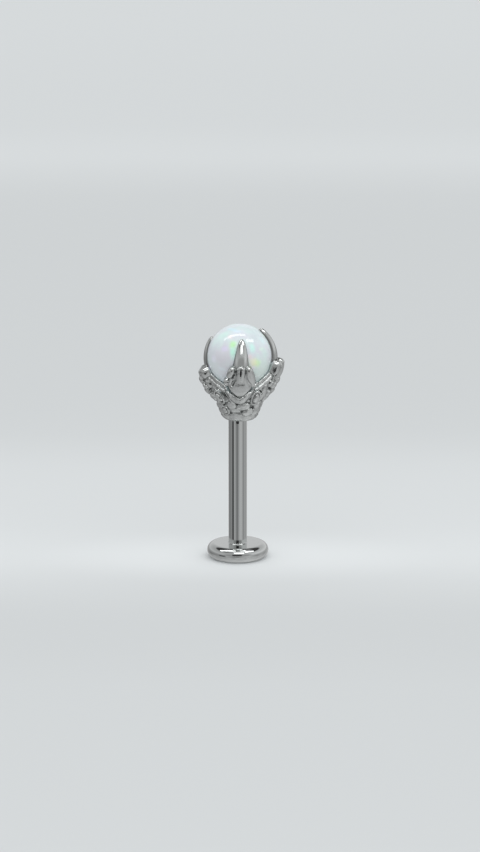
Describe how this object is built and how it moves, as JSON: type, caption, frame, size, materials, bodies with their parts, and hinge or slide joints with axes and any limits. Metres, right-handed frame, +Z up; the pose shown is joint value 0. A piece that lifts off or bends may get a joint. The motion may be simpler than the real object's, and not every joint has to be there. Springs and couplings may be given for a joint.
{
  "type": "labret stud",
  "caption": "Body jewellery stud standing on its flat disc: a straight post that carries a cast dragon claw gripping a milky opal ball.",
  "frame": {"origin": "centre of the disc's bottom face, on which the stud stands", "axes": "+Z up along the post from the disc to the head, -Y towards the claw that faces the viewer, +X to the viewer's right, where the longest nail is"},
  "size_m": [0.0055, 0.0058, 0.0154],
  "materials": {
    "polished_steel": "mirror polished surgical steel, turned",
    "cast_steel": "bright polished casting with darker hollows between its scales",
    "opal": "polished milky white opal with soft green, blue and violet flashes"
  },
  "bodies": {
    "root": {"labret_post": "polished_steel", "claw_setting": "cast_steel", "opal_ball": "opal"}
  },
  "joints": []
}
